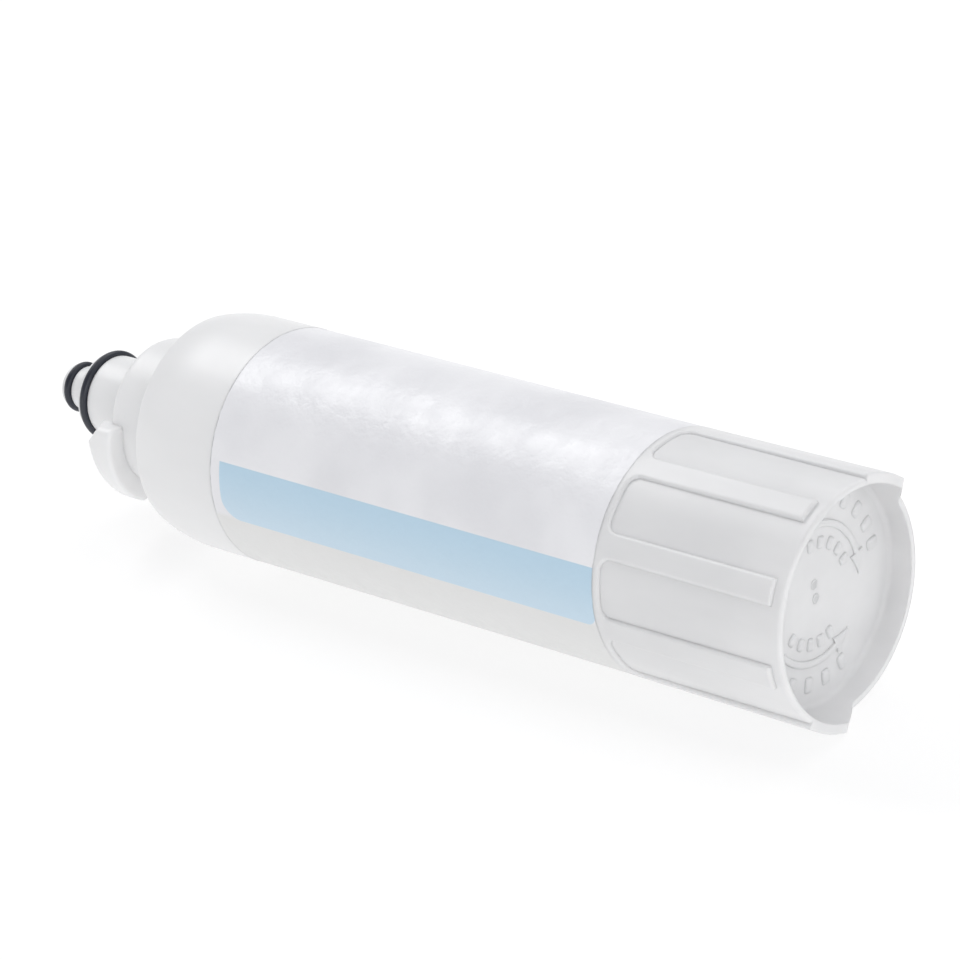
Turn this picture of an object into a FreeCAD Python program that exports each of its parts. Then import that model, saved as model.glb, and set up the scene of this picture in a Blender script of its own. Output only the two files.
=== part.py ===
import FreeCAD, Part
import os

import Sketcher
from FreeCAD import Placement, Rotation, Vector

# Twist-in water filter cartridge, lying with its axis along X. The origin is on the axis at the
# front face of the collar. The nozzle points to -X, the grip to +X, and +Z is up. Angles about the
# axis are measured from +Z towards -Y.

# Driving sizes in millimetres and degrees
SIZES = {
    # Nozzle, from its tip to the collar
    "nozzle_reach": 28.2,
    "tip_radius": 5.13,
    "tip_length": 10.1,
    "base_radius": 9.56,
    "outlet_radius": 2.0,
    "tip_chamfer": 0.6,
    "base_chamfer": 0.5,
    "root_round": 1.2,
    # O-rings and their grooves, each placed from the nozzle's tip
    "tip_ring_section": 1.95,
    "tip_ring_place": 2.5,
    "tip_ring_proud": 0.83,
    "base_ring_section": 1.95,
    "base_ring_place": 12.5,
    "base_ring_proud": 0.98,
    "groove_spare": 0.4,
    "ring_gap": 0.02,
    # Inlet ports and the chamber behind them
    "port_count": 4,
    "port_radius": 1.0,
    "port_circle": 6.3,
    "port_length": 7.0,
    "chamber_radius": 7.7,
    "duct_wall": 1.7,
    # Collar, socket for the filter element and shoulder
    "collar_radius": 16.85,
    "collar_wall": 2.6,
    "collar_face": 2.8,
    "collar_round": 2.4,
    "socket_radius": 5.0,
    "socket_wall": 2.0,
    "socket_floor": 7.6,
    "socket_end": 22.0,
    "shoulder_place": 17.0,
    "shoulder_face": 3.2,
    "shoulder_arc": 37.0,
    "shoulder_run": 11.8,
    "shoulder_nose": 1.2,
    "shoulder_root": 1.5,
    # Bayonet lugs
    "lug_radius": 21.6,
    "lug_lead": 2.4,
    "lug_thick": 7.6,
    "lug_thin": 3.6,
    "lug_bite": 1.2,
    "lug_edge": 0.9,
    "lug_corner": 2.0,
    "lug_entry": 3.6,
    "long_lug_turn": 115.6,
    "long_lug_sweep": 76.5,
    "short_lug_turn": 282.8,
    "short_lug_sweep": 34.0,
    # Housing wall and weld
    "body_radius": 27.0,
    "head_wall": 3.8,
    "sump_wall": 2.4,
    "weld_cover": 4.0,
    "tongue_length": 5.0,
    "weld_gap": 0.1,
    # Film label in its shallow recess
    "label_start": 42.6,
    "label_length": 110.0,
    "label_film": 0.15,
    "label_glue": 0.05,
    "label_inset": 0.05,
    "label_slit": 1.0,
    # Grip, with a front and a back group of recessed panels and a plain ear between them
    "front_turn": 60.0,
    "grip_margin": 1.6,
    "grip_length": 46.5,
    "grip_flare": 0.3,
    "panel_count": 4,
    "panel_pitch": 40.0,
    "panel_angle": 27.8,
    "panel_depth": 0.7,
    "panel_corner": 2.4,
    "rib_stop": 2.6,
    "rib_edge": 0.6,
    # Cup, end plate and the step in the rim
    "cup_depth": 11.4,
    "cup_wall": 1.3,
    "cup_round": 1.2,
    "plate_thickness": 3.0,
    "sump_round": 3.0,
    "rim_drop": 5.6,
    "ear_angle": 59.4,
    "ear_run": 8.15,
    "ear_radius": 36.0,
    "ear_foot": 2.0,
    "rim_round": 0.8,
    # Filter element
    "cap_gap": 3.0,
    "cap_plate": 3.0,
    "cap_skirt": 6.0,
    "cap_wall": 1.2,
    "skirt_gap": 0.15,
    "spigot_gap": 0.2,
    "spigot_reach": 15.5,
    "spigot_ring_section": 1.78,
    "spigot_ring_place": 11.0,
    "flow_gap": 1.85,
    "block_bore": 5.0,
    "fleece": 1.0,
    "foot_count": 4,
    "foot_inner": 6.0,
    "foot_height": 6.0,
    "foot_thickness": 2.0,
    "foot_gap": 0.25,
    "foot_corner": 4.0,
}

# Places and radii worked out from the driving sizes
PLACES = {
    # Along the axis at the nozzle
    "tip_end": "-nozzle_reach",
    "tip_bevel": "tip_end + tip_chamfer",
    "step_face": "tip_end + tip_length",
    "base_bevel": "step_face + base_chamfer",
    "tip_ring_x": "tip_end + tip_ring_place",
    "tip_groove_front": "tip_ring_x - (tip_ring_section + groove_spare) / 2",
    "tip_groove_back": "tip_ring_x + (tip_ring_section + groove_spare) / 2",
    "base_ring_x": "tip_end + base_ring_place",
    "base_groove_front": "base_ring_x - (base_ring_section + groove_spare) / 2",
    "base_groove_back": "base_ring_x + (base_ring_section + groove_spare) / 2",
    "chamber_front": "step_face + port_length",
    # Radii at the nozzle
    "tip_nose": "tip_radius - tip_chamfer",
    "base_nose": "base_radius - base_chamfer",
    "tip_groove_floor": "tip_radius + tip_ring_proud - tip_ring_section - ring_gap",
    "tip_ring_mean": "tip_radius + tip_ring_proud - tip_ring_section / 2",
    "base_groove_floor": "base_radius + base_ring_proud - base_ring_section - ring_gap",
    "base_ring_mean": "base_radius + base_ring_proud - base_ring_section / 2",
    "duct_radius": "outlet_radius + duct_wall",
    # Collar, socket and shoulder
    "collar_bore": "collar_radius - collar_wall",
    "socket_outer": "socket_radius + socket_wall",
    "flare_start": "socket_floor - socket_wall - (socket_outer - duct_radius)",
    "flare_end": "socket_floor - socket_wall",
    "shoulder_inside": "shoulder_place + shoulder_face",
    "shoulder_end": "shoulder_place + shoulder_run",
    "shoulder_drop": "shoulder_arc - sqrt(shoulder_arc * shoulder_arc - shoulder_run * shoulder_run)",
    "shoulder_radius": "body_radius - shoulder_drop",
    "head_bore": "body_radius - head_wall",
    # Housing, label and weld
    "label_end": "label_start + label_length",
    "label_outer": "body_radius - label_inset",
    "label_inner": "label_outer - label_film",
    "label_seat": "label_inner - label_glue",
    "label_sweep": "360 - 360 * label_slit / (2 * pi * label_outer)",
    "weld_seam": "label_start + weld_cover",
    "tongue_end": "weld_seam + tongue_length",
    "sump_bore": "body_radius - sump_wall",
    "tongue_radius": "sump_bore - weld_gap",
    # Lugs
    "lug_front": "-lug_lead",
    "lug_root": "collar_radius - lug_bite",
    "lug_thick_back": "lug_front + lug_thick",
    "lug_thin_back": "lug_front + lug_thin",
    "long_lug_half": "lug_radius * sin(long_lug_sweep / 2)",
    "long_lug_far": "-long_lug_half",
    "long_lug_entry": "long_lug_half - lug_entry",
    "short_lug_half": "lug_radius * sin(short_lug_sweep / 2)",
    "short_lug_far": "-short_lug_half",
    "short_lug_entry": "short_lug_half - lug_entry",
    "lug_entry_back": "lug_front + lug_entry",
    # Grip, cup and rim
    "panel_start": "label_end + grip_margin",
    "rim_high": "panel_start + grip_length",
    "rim_low": "rim_high - rim_drop",
    "rim_turn": "rim_high - rim_round",
    "rib_end": "rim_high - rib_stop",
    "low_rib_end": "rim_low - rib_stop",
    "flare_radius": "body_radius + grip_flare",
    "panel_spread": "(panel_count - 1) * panel_pitch",
    "window_angle": "panel_spread + panel_angle",
    "front_first": "180 - panel_spread / 2",
    "front_middle": "front_first + panel_spread / 2",
    "back_first": "360 - panel_spread / 2",
    "panel_floor": "body_radius - panel_depth",
    "rim_lip": "panel_floor - rim_round",
    "cup_radius": "panel_floor - cup_wall",
    "plate_outside": "rim_high - cup_depth",
    "plate_inside": "plate_outside - plate_thickness",
    "back_turn": "front_turn + 180",
    "ear_end": "panel_floor * cos(ear_angle)",
    "ear_start": "ear_end - ear_run",
    "past_rim": "rim_high + cup_depth",
    "past_wall": "body_radius + cup_depth",
    # Filter element
    "upper_cap_x": "socket_end + cap_gap",
    "block_start": "upper_cap_x + cap_plate",
    "upper_skirt_end": "block_start + cap_skirt",
    "lower_cap_x": "plate_inside - foot_height",
    "block_end": "lower_cap_x - cap_plate",
    "lower_skirt_start": "block_end - cap_skirt",
    "cap_radius": "head_bore - flow_gap",
    "skirt_bore": "cap_radius - cap_wall",
    "fleece_outer": "skirt_bore - skirt_gap",
    "block_radius": "fleece_outer - fleece",
    "spigot_radius": "socket_radius - spigot_gap",
    "spigot_end": "upper_cap_x - spigot_reach",
    "spigot_ring_x": "upper_cap_x - spigot_ring_place",
    "spigot_groove_front": "spigot_ring_x - (spigot_ring_section + groove_spare) / 2",
    "spigot_groove_back": "spigot_ring_x + (spigot_ring_section + groove_spare) / 2",
    "spigot_ring_mean": "socket_radius - ring_gap - spigot_ring_section / 2",
    "spigot_groove_floor": "spigot_ring_mean - spigot_ring_section / 2 - ring_gap",
    "foot_radius": "sump_bore - foot_gap",
    "foot_bevel_x": "plate_inside - foot_corner",
    "foot_bevel_radius": "foot_radius - foot_corner",
}

X_AXIS = Vector(1, 0, 0)
NEAR = 1e-3

doc = FreeCAD.newDocument("cartridge")
sheet = doc.addObject("Spreadsheet::Sheet", "sizes")


def fill_sheet():
    """Write the driving numbers and the formulas, each in a cell with its own alias."""
    for row, (alias, number) in enumerate(SIZES.items(), start=1):
        sheet.set(f"A{row}", alias)
        sheet.set(f"B{row}", str(number))
        sheet.setAlias(f"B{row}", alias)
    for row, (alias, formula) in enumerate(PLACES.items(), start=1):
        sheet.set(f"D{row}", alias)
        sheet.set(f"E{row}", "=" + formula)
        sheet.setAlias(f"E{row}", alias)
    doc.recompute()


def value(alias):
    """Number held by a cell."""
    return float(sheet.get(alias))


def bind(thing, prop, alias):
    """Tie a property to a cell."""
    thing.setExpression(prop, f"sizes.{alias}")


def new_body(label, turn=None):
    """Empty body, turned about the axis by a named angle."""
    body = doc.addObject("PartDesign::Body", label)
    body.Label = label
    if turn:
        body.Placement = Placement(Vector(), Rotation(X_AXIS, value(turn)))
        bind(body, "Placement.Rotation.Angle", turn)
    return body


def arc_between(start, end, radius):
    """Circular arc from start to end that bulges to the left of that direction."""
    middle = (start + end) * 0.5
    half = (end - start) * 0.5
    left = Vector(-half.y, half.x, 0).normalize()
    sagitta = radius - (radius ** 2 - half.Length ** 2) ** 0.5
    return Part.Arc(start, middle + left * sagitta, end)


def new_sketch(body, role, name):
    """Empty sketch on one of the body's origin planes."""
    sketch = body.newObject("Sketcher::SketchObject", name)
    plane = next(item for item in body.Origin.OriginFeatures if item.Role == role)
    sketch.AttachmentSupport = [(plane, "")]
    sketch.MapMode = "FlatFace"
    return sketch


def hold(sketch, alias, *constraint):
    """Dimension in a sketch that is tied to a cell."""
    number = sketch.addConstraint(Sketcher.Constraint(*constraint, value(alias)))
    bind(sketch, f"Constraints[{number}]", alias)


def draw(body, role, name, corners, arcs=None, turn=None):
    """Closed outline on an origin plane, with every corner at two named distances.

    A None in place of a name puts the corner on the sketch's own axis. arcs gives the radius of
    each side that is round, by the number of the side. turn swings the plane about the X axis.
    """
    arcs = arcs or {}
    sketch = new_sketch(body, role, name)
    if turn:
        sketch.AttachmentOffset = Placement(Vector(), Rotation(X_AXIS, value(turn)))
        bind(sketch, "AttachmentOffset.Rotation.Angle", turn)
    points = [Vector(value(a) if a else 0, value(b) if b else 0, 0) for a, b in corners]
    ends = []
    for side, start in enumerate(points):
        end = points[(side + 1) % len(points)]
        if side in arcs:
            sketch.addGeometry(arc_between(start, end, value(arcs[side])))
        else:
            sketch.addGeometry(Part.LineSegment(start, end))
        forward = sketch.getPoint(side, 1).isEqual(start, NEAR)
        ends.append((1, 2) if forward else (2, 1))
    for side in range(len(points)):
        after = (side + 1) % len(points)
        sketch.addConstraint(Sketcher.Constraint("Coincident", side, ends[side][1], after, ends[after][0]))
    for side, (along, across) in enumerate(corners):
        for kind, alias, axis in (("DistanceX", along, -2), ("DistanceY", across, -1)):
            if alias is None:
                sketch.addConstraint(Sketcher.Constraint("PointOnObject", side, ends[side][0], axis))
            else:
                hold(sketch, alias, kind, -1, 1, side, ends[side][0])
    for side, alias in arcs.items():
        hold(sketch, alias, "Radius", side)
    return sketch


def revolve(body, kind, name, sketch, angle=None):
    """Revolution or Groove about the X axis: a full turn, or a named angle centred on the sketch."""
    feature = body.newObject(f"PartDesign::{kind}", name)
    feature.Profile = sketch
    feature.ReferenceAxis = (sketch, ["H_Axis"])
    feature.Angle = 360
    if angle:
        feature.Midplane = True
        bind(feature, "Angle", angle)
    doc.recompute()
    return feature


def repeat(body, name, original, count, spread=None):
    """Copies of a feature about the X axis, evenly over a full turn or over a named angle."""
    pattern = body.newObject("PartDesign::PolarPattern", name)
    pattern.Originals = [original]
    axis = next(item for item in body.Origin.OriginFeatures if item.Role == "X_Axis")
    pattern.Axis = (axis, [""])
    pattern.Angle = 360
    if spread:
        bind(pattern, "Angle", spread)
    bind(pattern, "Occurrences", count)
    body.Tip = pattern
    doc.recompute()
    return pattern


def blend(body, kind, name, size, chosen):
    """Fillet or Chamfer on the edges of the body's tip that the test picks."""
    base = body.Tip
    names = [f"Edge{k}" for k, edge in enumerate(base.Shape.Edges, start=1) if chosen(edge)]
    if not names:
        raise RuntimeError(f"{name}: no edge found")
    feature = body.newObject(f"PartDesign::{kind}", name)
    feature.Base = (base, names)
    bind(feature, "Radius" if kind == "Fillet" else "Size", size)
    doc.recompute()
    return feature


def off_axis(point):
    """Distance of a point from the X axis."""
    return (point.y ** 2 + point.z ** 2) ** 0.5


def ring_at(place, radius):
    """Test for an edge that is a circle about the X axis, at a named place or the origin if None."""
    spot = value(place) if place else 0

    def test(edge):
        curve = edge.Curve
        if not isinstance(curve, Part.Circle):
            return False
        return abs(curve.Radius - value(radius)) < NEAR and abs(curve.Center.x - spot) < NEAR
    return test


def spoke_at(place):
    """Test for a straight radial edge at a named place along the axis."""
    def test(edge):
        if not isinstance(edge.Curve, Part.Line):
            return False
        first, last = edge.Vertexes[0].Point, edge.Vertexes[-1].Point
        return abs(first.x - value(place)) < NEAR and abs(last.x - value(place)) < NEAR
    return test


def head_core():
    """Nozzle, collar and shoulder, turned with the duct, socket and chamber inside."""
    body = new_body("head_core")
    section = draw(body, "XY_Plane", "head_section", [
        ("tip_end", "outlet_radius"),
        ("tip_end", "tip_nose"),
        ("tip_bevel", "tip_radius"),
        ("tip_groove_front", "tip_radius"),
        ("tip_groove_front", "tip_groove_floor"),
        ("tip_groove_back", "tip_groove_floor"),
        ("tip_groove_back", "tip_radius"),
        ("step_face", "tip_radius"),
        ("step_face", "base_nose"),
        ("base_bevel", "base_radius"),
        ("base_groove_front", "base_radius"),
        ("base_groove_front", "base_groove_floor"),
        ("base_groove_back", "base_groove_floor"),
        ("base_groove_back", "base_radius"),
        (None, "base_radius"),
        (None, "collar_radius"),
        ("shoulder_place", "collar_radius"),
        ("shoulder_place", "shoulder_radius"),
        ("shoulder_end", "body_radius"),
        ("label_start", "body_radius"),
        ("label_start", "label_seat"),
        ("weld_seam", "label_seat"),
        ("weld_seam", "tongue_radius"),
        ("tongue_end", "tongue_radius"),
        ("tongue_end", "head_bore"),
        ("shoulder_inside", "head_bore"),
        ("shoulder_inside", "collar_bore"),
        ("collar_face", "collar_bore"),
        ("collar_face", "chamber_radius"),
        ("chamber_front", "chamber_radius"),
        ("chamber_front", "duct_radius"),
        ("flare_start", "duct_radius"),
        ("flare_end", "socket_outer"),
        ("socket_end", "socket_outer"),
        ("socket_end", "socket_radius"),
        ("socket_floor", "socket_radius"),
        ("socket_floor", "outlet_radius"),
    ], arcs={17: "shoulder_arc"})
    revolve(body, "Revolution", "head_turned", section)
    hole = new_sketch(body, "YZ_Plane", "port_outline")
    bind(hole, "AttachmentOffset.Base.z", "step_face")
    hole.addGeometry(Part.Circle(Vector(0, value("port_circle"), 0), Vector(0, 0, 1), value("port_radius")))
    hole.addConstraint(Sketcher.Constraint("PointOnObject", 0, 3, -2))
    hold(hole, "port_circle", "DistanceY", -1, 1, 0, 3)
    hold(hole, "port_radius", "Radius", 0)
    port = body.newObject("PartDesign::Pocket", "port")
    port.Profile = hole
    port.Reversed = True
    bind(port, "Length", "port_length")
    doc.recompute()
    repeat(body, "ports", port, "port_count")
    blend(body, "Fillet", "collar_edge", "collar_round", ring_at(None, "collar_radius"))
    blend(body, "Fillet", "nozzle_root", "root_round", ring_at(None, "base_radius"))
    blend(body, "Fillet", "shoulder_edge", "shoulder_nose", ring_at("shoulder_place", "shoulder_radius"))
    blend(body, "Fillet", "shoulder_foot", "shoulder_root", ring_at("shoulder_place", "collar_radius"))
    return body


def lug(label):
    """Bayonet lug: a ring sector with a sloping back, thickest where its bevelled front starts."""
    body = new_body(label, f"{label}_turn")
    section = draw(body, "XZ_Plane", f"{label}_section", [
        ("lug_front", "lug_root"),
        ("lug_thick_back", "lug_root"),
        ("lug_thick_back", "lug_radius"),
        ("lug_front", "lug_radius"),
    ])
    revolve(body, "Revolution", f"{label}_sector", section, angle=f"{label}_sweep")
    ramp = draw(body, "XY_Plane", f"{label}_ramp", [
        ("lug_thick_back", f"{label}_half"),
        ("lug_thin_back", f"{label}_far"),
        ("lug_thick_back", f"{label}_far"),
    ])
    entry = draw(body, "XY_Plane", f"{label}_entry", [
        ("lug_front", f"{label}_entry"),
        ("lug_entry_back", f"{label}_half"),
        ("lug_front", f"{label}_half"),
    ])
    for name, outline in ((f"{label}_slope", ramp), (f"{label}_bevel", entry)):
        cut = body.newObject("PartDesign::Pocket", name)
        cut.Profile = outline
        cut.Reversed = True
        bind(cut, "Length", "body_radius")
        doc.recompute()

    def end_edge(edge):
        """Edges along X at the lug's outer corners."""
        first, last = edge.Vertexes[0].Point, edge.Vertexes[-1].Point
        level = abs(first.y - last.y) < NEAR and abs(first.z - last.z) < NEAR
        return level and abs(off_axis(first) - value("lug_radius")) < NEAR

    blend(body, "Fillet", f"{label}_ends", "lug_corner", end_edge)

    def outer_edge(edge):
        """Edges round the lug's outer face, front and back."""
        middle = edge.valueAt((edge.FirstParameter + edge.LastParameter) / 2)
        inside = min(off_axis(vertex.Point) for vertex in edge.Vertexes)
        near_rim = off_axis(middle) > value("lug_radius") - value("lug_edge")
        return near_rim and inside > value("collar_radius")

    blend(body, "Fillet", f"{label}_rim", "lug_edge", outer_edge)
    return body


def head_cap():
    """Head moulding: the turned core with its two lugs."""
    pieces = [
        head_core(),
        lug("long_lug"),
        lug("short_lug"),
    ]
    head = doc.addObject("Part::MultiFuse", "head_cap")
    head.Label = "head_cap"
    head.Shapes = pieces
    head.Refine = True
    doc.recompute()
    return head


def sump_shell():
    """Housing wall with label recess, panelled grip, end plate and the stepped rim of its cup."""
    body = new_body("sump_shell", "back_turn")
    section = draw(body, "XZ_Plane", "sump_section", [
        ("weld_seam", "sump_bore"),
        ("weld_seam", "label_seat"),
        ("label_end", "label_seat"),
        ("label_end", "body_radius"),
        ("rim_high", "flare_radius"),
        ("rim_high", "cup_radius"),
        ("plate_outside", "cup_radius"),
        ("plate_outside", None),
        ("plate_inside", None),
        ("plate_inside", "sump_bore"),
    ])
    revolve(body, "Revolution", "sump_turned", section)
    front_rim = draw(body, "XZ_Plane", "front_rim_section", [
        ("rib_end", "panel_floor"),
        ("rim_turn", "panel_floor"),
        ("rim_high", "rim_lip"),
        ("past_rim", "rim_lip"),
        ("past_rim", "past_wall"),
        ("rib_end", "past_wall"),
    ], arcs={1: "rim_round"}, turn="front_middle")
    revolve(body, "Groove", "front_rim", front_rim, angle="window_angle")
    back_rim = draw(body, "XZ_Plane", "back_rim_section", [
        ("low_rib_end", "panel_floor"),
        ("past_rim", "panel_floor"),
        ("past_rim", "past_wall"),
        ("low_rib_end", "past_wall"),
    ])
    revolve(body, "Groove", "back_rim", back_rim, angle="window_angle")
    for side in ("front", "back"):
        panel = draw(body, "XZ_Plane", f"{side}_panel_section", [
            ("panel_start", "panel_floor"),
            ("past_rim", "panel_floor"),
            ("past_rim", "past_wall"),
            ("panel_start", "past_wall"),
        ], turn=f"{side}_first")
        cut = revolve(body, "Groove", f"{side}_panel", panel, angle="panel_angle")
        repeat(body, f"{side}_panels", cut, "panel_count", spread="panel_spread")
    blend(body, "Fillet", "panel_corners", "panel_corner", spoke_at("panel_start"))

    def rib_edge(edge):
        """Edges where the outer face of the ribs and ears, a slight cone, meets the walls."""
        middle = edge.valueAt((edge.FirstParameter + edge.LastParameter) / 2)
        points = [vertex.Point for vertex in edge.Vertexes] + [middle]
        start, slope = value("label_end"), value("grip_flare") / (value("rim_high") - value("label_end"))
        radii = [value("body_radius") + slope * (point.x - start) for point in points]
        level = all(abs(off_axis(point) - radius) < NEAR for point, radius in zip(points, radii))
        return level and all(point.x > value("panel_start") - NEAR for point in points)

    blend(body, "Fillet", "rib_edges", "rib_edge", rib_edge)
    rim = draw(body, "XZ_Plane", "rim_step", [
        ("rim_low", "ear_end"),
        ("rim_high", "ear_start"),
        ("past_rim", "ear_start"),
        ("past_rim", "past_wall"),
        ("rim_low", "past_wall"),
    ], arcs={0: "ear_radius"})
    step = body.newObject("PartDesign::Pocket", "rim_cut")
    step.Profile = rim
    step.SideType = "Symmetric"
    step.Type = "ThroughAll"
    doc.recompute()

    def ear_foot(edge):
        """Edges across the wall where the ears run down to the low rim."""
        low, foot = value("rim_low"), value("ear_end")
        points = [vertex.Point for vertex in edge.Vertexes]
        at_foot = all(abs(p.x - low) < NEAR and abs(p.z - foot) < NEAR for p in points)
        return at_foot and isinstance(edge.Curve, Part.Line)

    blend(body, "Fillet", "ear_feet", "ear_foot", ear_foot)
    blend(body, "Fillet", "cup_corner", "cup_round", ring_at("plate_outside", "cup_radius"))
    blend(body, "Fillet", "sump_corner", "sump_round", ring_at("plate_inside", "sump_bore"))
    return body


def turned(label, corners, turn=None, sweep=None):
    """Piece turned about the axis from one closed outline."""
    body = new_body(label, turn)
    section = draw(body, "XZ_Plane", f"{label}_section", corners)
    revolve(body, "Revolution", f"{label}_turned", section, angle=sweep)
    return body


def sleeve(label, start, end, inner, outer, turn=None, sweep=None):
    """Plain tube between two places and two radii."""
    corners = [(start, inner), (end, inner), (end, outer), (start, outer)]
    return turned(label, corners, turn, sweep)


def o_ring(label, place, mean, section):
    """Rubber ring about the axis, centred at a named place."""
    ring = doc.addObject("Part::Torus", label)
    ring.Label = label
    ring.Placement = Placement(Vector(), Rotation(Vector(0, 1, 0), 90))
    bind(ring, "Placement.Base.x", place)
    bind(ring, "Radius1", mean)
    ring.setExpression("Radius2", f"sizes.{section} / 2")
    doc.recompute()
    return ring


def upper_end_cap():
    """Cap on the head end of the carbon block, with the outlet spigot and its O-ring groove."""
    return turned("upper_end_cap", [
        ("spigot_end", "outlet_radius"),
        ("spigot_end", "spigot_radius"),
        ("spigot_groove_front", "spigot_radius"),
        ("spigot_groove_front", "spigot_groove_floor"),
        ("spigot_groove_back", "spigot_groove_floor"),
        ("spigot_groove_back", "spigot_radius"),
        ("upper_cap_x", "spigot_radius"),
        ("upper_cap_x", "cap_radius"),
        ("upper_skirt_end", "cap_radius"),
        ("upper_skirt_end", "skirt_bore"),
        ("block_start", "skirt_bore"),
        ("block_start", "outlet_radius"),
    ])


def lower_end_cap():
    """Closed cap on the far end of the block, with feet that centre it in the sump."""
    body = turned("lower_end_cap", [
        ("lower_skirt_start", "skirt_bore"),
        ("lower_skirt_start", "cap_radius"),
        ("lower_cap_x", "cap_radius"),
        ("lower_cap_x", None),
        ("block_end", None),
        ("block_end", "skirt_bore"),
    ])
    outline = draw(body, "XZ_Plane", "foot_outline", [
        ("block_end", "foot_inner"),
        ("plate_inside", "foot_inner"),
        ("plate_inside", "foot_bevel_radius"),
        ("foot_bevel_x", "foot_radius"),
        ("block_end", "foot_radius"),
    ])
    foot = body.newObject("PartDesign::Pad", "foot")
    foot.Profile = outline
    foot.SideType = "Symmetric"
    bind(foot, "Length", "foot_thickness")
    doc.recompute()
    repeat(body, "feet", foot, "foot_count")
    return body


def check(parts):
    """Stop if any object failed or any piece has no sound solid."""
    for item in doc.Objects:
        if "Invalid" in item.State or "Error" in item.State:
            raise RuntimeError(f"{item.Name} failed: {item.State}")
    for part in parts:
        if part.Shape.isNull() or not part.Shape.isValid() or not part.Shape.Solids:
            raise RuntimeError(f"{part.Label} has no valid solid")


fill_sheet()
PARTS = [
    head_cap(),
    sump_shell(),
    sleeve("wrap_label", "label_start", "label_end", "label_inner", "label_outer",
           turn="front_turn", sweep="label_sweep"),
    o_ring("nozzle_o_ring", "base_ring_x", "base_ring_mean", "base_ring_section"),
    o_ring("tip_o_ring", "tip_ring_x", "tip_ring_mean", "tip_ring_section"),
    o_ring("spigot_o_ring", "spigot_ring_x", "spigot_ring_mean", "spigot_ring_section"),
    upper_end_cap(),
    sleeve("carbon_block", "block_start", "block_end", "block_bore", "block_radius"),
    sleeve("prefilter_fleece", "block_start", "block_end", "block_radius", "fleece_outer"),
    lower_end_cap(),
]
doc.recompute()
check(PARTS)
os.makedirs("parts", exist_ok=True)
for piece in PARTS:
    piece.Shape.exportStep(f"parts/{piece.Label}.step")
    box = piece.Shape.BoundBox
    print(f"{piece.Label}: {len(piece.Shape.Solids)} solid, {piece.Shape.Volume:.1f} mm3, "
          f"x {box.XMin:.2f} to {box.XMax:.2f}, radius about {box.ZMax:.2f}")
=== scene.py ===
"""Looks of a twist-in fridge water filter cartridge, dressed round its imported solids.

The cartridge lies along X with its nozzle at -X and its grip at +X. All sizes are in metres. A place on
the end plate is a radius and an angle, measured clockwise from straight up as seen from outside.
"""

import logging
import math
from dataclasses import dataclass
from enum import Enum

import bpy
import numpy as np
from mathutils import Matrix, Vector


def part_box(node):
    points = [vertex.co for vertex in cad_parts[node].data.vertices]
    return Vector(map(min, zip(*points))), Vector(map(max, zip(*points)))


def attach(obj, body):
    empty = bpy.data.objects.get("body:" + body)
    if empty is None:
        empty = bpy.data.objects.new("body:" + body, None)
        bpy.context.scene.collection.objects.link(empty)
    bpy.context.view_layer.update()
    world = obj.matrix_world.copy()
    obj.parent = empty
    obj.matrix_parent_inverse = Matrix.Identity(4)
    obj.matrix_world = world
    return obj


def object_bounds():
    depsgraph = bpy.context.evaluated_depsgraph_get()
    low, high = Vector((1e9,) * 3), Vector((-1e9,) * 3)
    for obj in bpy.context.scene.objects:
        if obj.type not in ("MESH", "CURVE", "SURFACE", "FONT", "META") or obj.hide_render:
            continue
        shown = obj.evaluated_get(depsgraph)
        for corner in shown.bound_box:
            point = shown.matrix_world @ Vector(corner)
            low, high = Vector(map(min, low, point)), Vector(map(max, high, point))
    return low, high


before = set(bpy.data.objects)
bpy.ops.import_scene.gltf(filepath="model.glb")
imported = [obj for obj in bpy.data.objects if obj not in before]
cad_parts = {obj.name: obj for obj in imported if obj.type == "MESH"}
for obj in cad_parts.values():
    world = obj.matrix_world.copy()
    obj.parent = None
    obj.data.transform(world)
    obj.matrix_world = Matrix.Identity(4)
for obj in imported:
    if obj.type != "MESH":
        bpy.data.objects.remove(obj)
CAD_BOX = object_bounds()

log = logging.getLogger("cartridge")
BODY = "root"
MM = 0.001
LOOP = 28
SHARP_ANGLE = math.radians(38)


class Turn(Enum):
    """Direction of a turning arrow, as seen from outside the end plate."""

    CLOCKWISE = 1
    ANTICLOCKWISE = -1


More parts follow.
